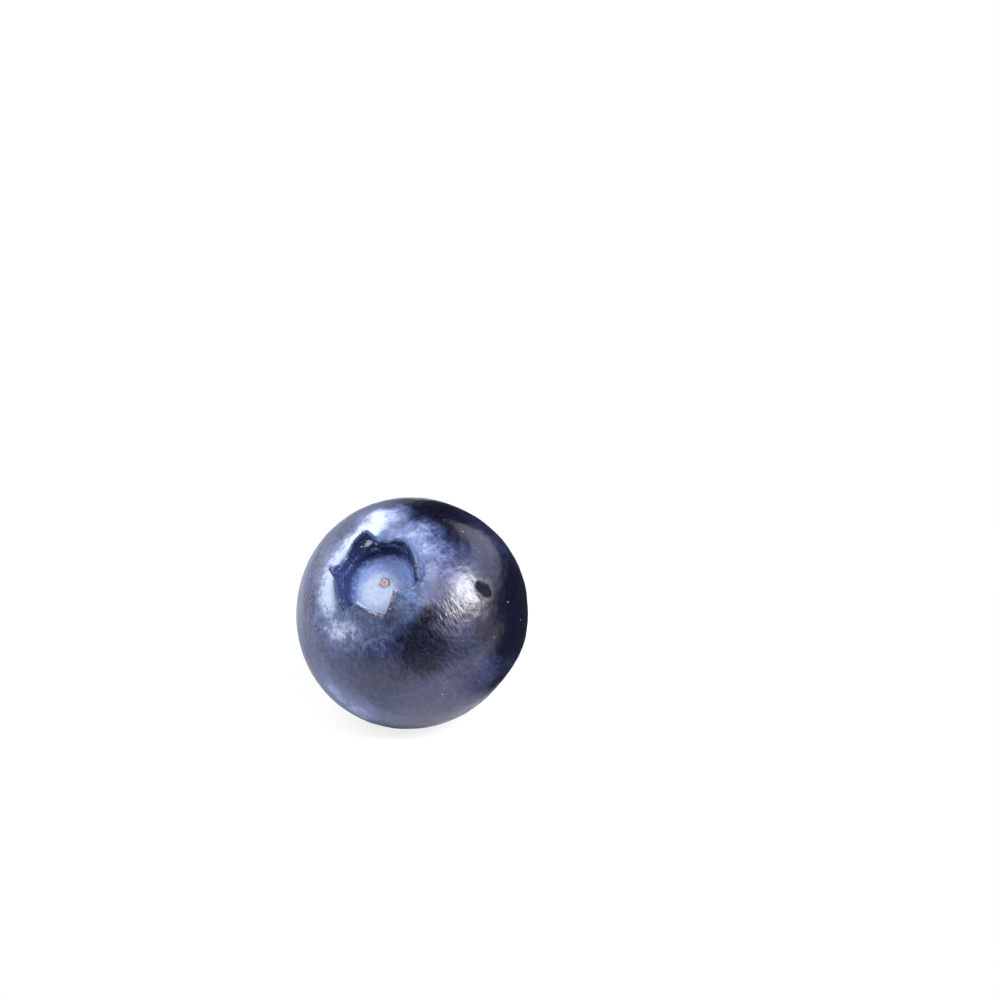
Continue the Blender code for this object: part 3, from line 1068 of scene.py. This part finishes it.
class BLUEBERRY_OT_berry(Operator):
    """Grow the berry: skin, crown, disc and both scars, as one mesh"""

    bl_idname = "blueberry.berry"
    bl_label = "Berry"
    bl_options = {"REGISTER", "UNDO"}

    def execute(self, context):
        material = skin_material(context.scene.blueberry_colours)
        berry = grow("berry", *berry_tree(context.scene.blueberry_sizes, material))
        dress(berry)
        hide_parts(NODE)
        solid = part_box(NODE)
        points = [vertex.co for vertex in berry.data.vertices]
        for axis in range(3):
            reach = (min(p[axis] for p in points), max(p[axis] for p in points))
            for mine, given in zip(reach, (solid[0][axis], solid[1][axis])):
                if abs(mine - given) > BOX_TOLERANCE:
                    raise RuntimeError(f"the berry differs from its solid: {mine} and {given}")
        return {"FINISHED"}


class BLUEBERRY_OT_flakes(Operator):
    """Scatter dry flakes along the crown's edge"""

    bl_idname = "blueberry.flakes"
    bl_label = "Dry Flakes"
    bl_options = {"REGISTER", "UNDO"}

    def execute(self, context):
        colours = context.scene.blueberry_colours
        material = small_material("dry_flake", colours.dry_crumb, colours.dry_edge, 0.75)
        add_scattered(context, "dry_flakes", flakes_tree, material)
        return {"FINISHED"}


class BLUEBERRY_OT_flecks(Operator):
    """Scatter flecks of loose wax over the skin"""

    bl_idname = "blueberry.flecks"
    bl_label = "Wax Flecks"
    bl_options = {"REGISTER", "UNDO"}

    def execute(self, context):
        colours = context.scene.blueberry_colours
        material = small_material("wax_fleck", colours.fleck, colours.bloom, 0.6)
        add_scattered(context, "wax_flecks", flecks_tree, material)
        return {"FINISHED"}


# The photograph's view: its elevation, lens and distance, and where the berry's middle lies
# in its frame of 1000 by 1000 pixels.
CAMERA_ELEVATION = math.radians(25.0)
CAMERA_DISTANCE = 0.2013
LENS_MM = 100.0
SENSOR_MM = 36.0
FRAME_PIXELS = 1000.0
MIDDLE_PIXEL = (409.4, 610.7)

# The lights: name, direction as the camera sees it, distance, size, radiance and whether the
# light shows in reflections alone.
SOFTBOXES = (
    ("key", (-0.71, 0.62, 0.02), 0.16, (0.15, 0.17), 3.4, False),
    ("top_left_box", (-0.50, 0.62, 0.60), 0.15, (0.12, 0.12), 3.2, False),
    ("right_box", (0.67, 0.37, 0.64), 0.15, (0.056, 0.074), 40.0, False),
    ("right_panel", (0.642, 0.25, 0.725), 0.20, (0.217, 0.28), 2.0, True),
    ("upper_right_panel", (0.735, 0.674, -0.07), 0.20, (0.220, 0.112), 2.5, True),
)
LIGHT_COLOUR = (0.95, 0.96, 1.0)
SHEEN_COLOUR = (0.86, 0.83, 1.0)

# The room that the berry reflects: its colour, and the way to its bright side as the camera
# sees it.
ROOM_COLOUR = (0.90, 0.94, 1.0, 1.0)
REAR_LEFT = (-0.85, 0.10, -0.55)
TO_CAMERA = (0.0, 0.0, 1.0)
WHITE = (1.0, 1.0, 1.0, 1.0)

# The table: how far its top lies below the berry, its radius, and its tones; the dark tone is painted
# shade just right of the berry.
TABLE_DROP = 0.00001
TABLE_RADIUS = 0.6
PALE_TABLE = (0.72, 0.71, 0.72)
TABLE_SHADE_TONE = (0.02, 0.02, 0.03)
SHADED_WHITE = (0.88, 0.88, 0.89, 1.0)


def camera_axes():
    """Right, up and back towards the camera, as the photograph sees the berry."""
    sine, cosine = math.sin(CAMERA_ELEVATION), math.cos(CAMERA_ELEVATION)
    return Vector((1, 0, 0)), Vector((0, sine, cosine)), Vector((0, -cosine, sine))


def as_seen(towards):
    """The unit vector of a direction that is given as the camera sees it."""
    right, up, back = camera_axes()
    return (right * towards[0] + up * towards[1] + back * towards[2]).normalized()


def make_camera(context):
    """The camera at the photograph's angle, with the berry where the photograph has it."""
    right, up, back = camera_axes()
    data = bpy.data.cameras.new("photo_view")
    data.lens = LENS_MM
    data.sensor_width = SENSOR_MM
    data.clip_start = 0.005
    camera = bpy.data.objects.new("photo_view", data)
    pixel = SENSOR_MM / LENS_MM * CAMERA_DISTANCE / FRAME_PIXELS
    aside, down = (spot - FRAME_PIXELS / 2 for spot in MIDDLE_PIXEL)
    camera.location = BERRY_MIDDLE + back * CAMERA_DISTANCE
    target = BERRY_MIDDLE - right * aside * pixel + up * down * pixel
    camera.rotation_euler = (target - camera.location).to_track_quat("-Z", "Y").to_euler()
    context.scene.collection.objects.link(camera)
    context.scene.camera = camera


def make_softbox(context, name, towards, distance, size, radiance, sheen_only):
    """A rectangular light that faces the berry."""
    away = as_seen(towards)
    data = bpy.data.lights.new(name, "AREA")
    data.shape = "RECTANGLE"
    data.size, data.size_y = size
    data.energy = radiance * math.pi * size[0] * size[1]
    data.color = SHEEN_COLOUR if sheen_only else LIGHT_COLOUR
    light = bpy.data.objects.new(name, data)
    light.location = BERRY_MIDDLE + away * distance
    light.rotation_euler = away.to_track_quat("Z", "Y").to_euler()
    light.visible_camera = False
    light.visible_diffuse = not sheen_only
    context.scene.collection.objects.link(light)


def camera_sees(tree, shown, lit_by):
    """One surface for the camera and another for the light that falls on the berry."""
    seen = result(tree, "ShaderNodeLightPath", output="Is Camera Ray")
    return result(tree, "ShaderNodeMixShader", {0: seen, 1: lit_by, 2: shown})


def make_world(context):
    """A white backdrop for the camera. For the berry a dim room, a little brighter on the
    camera's side and bright at the left rear."""
    world = bpy.data.worlds.new("studio")
    world.use_nodes = True
    tree = world.node_tree
    tree.nodes.clear()
    heading = result(tree, "ShaderNodeTexCoord", output="Generated")
    rear, front = (
        calculate("DOT_PRODUCT", heading, as_seen(way)) for way in (REAR_LEFT, TO_CAMERA)
    )
    glow = rise(rear, 0.35, 0.95) * 1.4 + rise(front, 0.0, 0.7) * 0.06 + 0.012
    room = result(tree, "ShaderNodeBackground", {"Color": ROOM_COLOUR, "Strength": glow})
    plain = result(tree, "ShaderNodeBackground", {"Color": WHITE, "Strength": 1.0})
    out = tree.nodes.new("ShaderNodeOutputWorld")
    feed(out.inputs["Surface"], camera_sees(tree, plain, room))
    context.scene.world = world


def make_floor(context):
    """A round table top, white to the camera. The light that it throws on the berry is pale, less
    so towards the camera, and there is hardly any from just right of the berry."""
    bm = bmesh.new()
    bmesh.ops.create_circle(bm, cap_ends=True, radius=TABLE_RADIUS, segments=96)
    mesh = bpy.data.meshes.new("floor")
    bm.to_mesh(mesh)
    bm.free()
    material, tree, shader = new_material("white_table", (0.9, 0.9, 0.9))
    tree.nodes.remove(shader)
    place = result(tree, "ShaderNodeTexCoord", output="Object")
    x, y, _ = place.parts()
    # Painted shade: the table is dark just right of the berry, in the light and reflections that it
    # gives the berry.
    dim = rise(x, 0.0050, 0.0085) * rise(y, -0.0125, -0.0095)
    close_by = rise(y, -0.035, -0.014) * 0.7 + 0.3
    tone = paint(TABLE_SHADE_TONE, PALE_TABLE, (1 - dim) * close_by)
    lit_by = result(tree, "ShaderNodeBsdfDiffuse", {"Color": tone})
    shaded = result(tree, "ShaderNodeBsdfDiffuse", {"Color": SHADED_WHITE})
    bright = result(tree, "ShaderNodeEmission", {"Color": WHITE, "Strength": 1.0})
    away = rise(calculate("LENGTH", place), 0.0, 0.05) * 0.2 + 0.8
    shown = result(tree, "ShaderNodeMixShader", {0: away, 1: shaded, 2: bright})
    feed(tree.nodes["Material Output"].inputs["Surface"], camera_sees(tree, shown, lit_by))
    mesh.materials.append(material)
    floor = bpy.data.objects.new("floor", mesh)
    floor.location.z = -TABLE_DROP
    context.scene.collection.objects.link(floor)


class BLUEBERRY_OT_stage(Operator):
    """Set up the plain white table, the soft lights and the camera"""

    bl_idname = "blueberry.stage"
    bl_label = "Stage"
    bl_options = {"REGISTER", "UNDO"}

    def execute(self, context):
        make_floor(context)
        make_world(context)
        for softbox in SOFTBOXES:
            make_softbox(context, *softbox)
        make_camera(context)
        context.scene.view_settings.view_transform = "Standard"
        return {"FINISHED"}


class BLUEBERRY_PT_panel(Panel):
    """Sizes, colours and the steps that make the blueberry"""

    bl_idname = "BLUEBERRY_PT_panel"
    bl_label = "Blueberry"
    bl_space_type = "VIEW_3D"
    bl_region_type = "UI"
    bl_category = "Blueberry"

    def draw(self, context):
        for group in GROUPS:
            settings = getattr(context.scene, group)
            column = self.layout.column(align=True)
            for prop in own_properties(settings):
                column.prop(settings, prop.identifier)
        for operator in STEPS:
            self.layout.operator(operator.bl_idname)


GROUPS = {
    "blueberry_sizes": BLUEBERRY_PG_sizes,
    "blueberry_colours": BLUEBERRY_PG_colours,
    "blueberry_scatter": BLUEBERRY_PG_scatter,
}
STEPS = (BLUEBERRY_OT_berry, BLUEBERRY_OT_flakes, BLUEBERRY_OT_flecks, BLUEBERRY_OT_stage)
CLASSES = (*GROUPS.values(), *STEPS, BLUEBERRY_PT_panel)


def register():
    for made in CLASSES:
        bpy.utils.register_class(made)
    for name, group in GROUPS.items():
        setattr(bpy.types.Scene, name, PointerProperty(type=group))


def unregister():
    for name in GROUPS:
        delattr(bpy.types.Scene, name)
    for made in reversed(CLASSES):
        bpy.utils.unregister_class(made)


def main():
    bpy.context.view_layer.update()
    register()
    bpy.ops.blueberry.berry()
    bpy.ops.blueberry.flakes()
    bpy.ops.blueberry.flecks()
    bpy.ops.blueberry.stage()


if __name__ == "__main__":
    main()
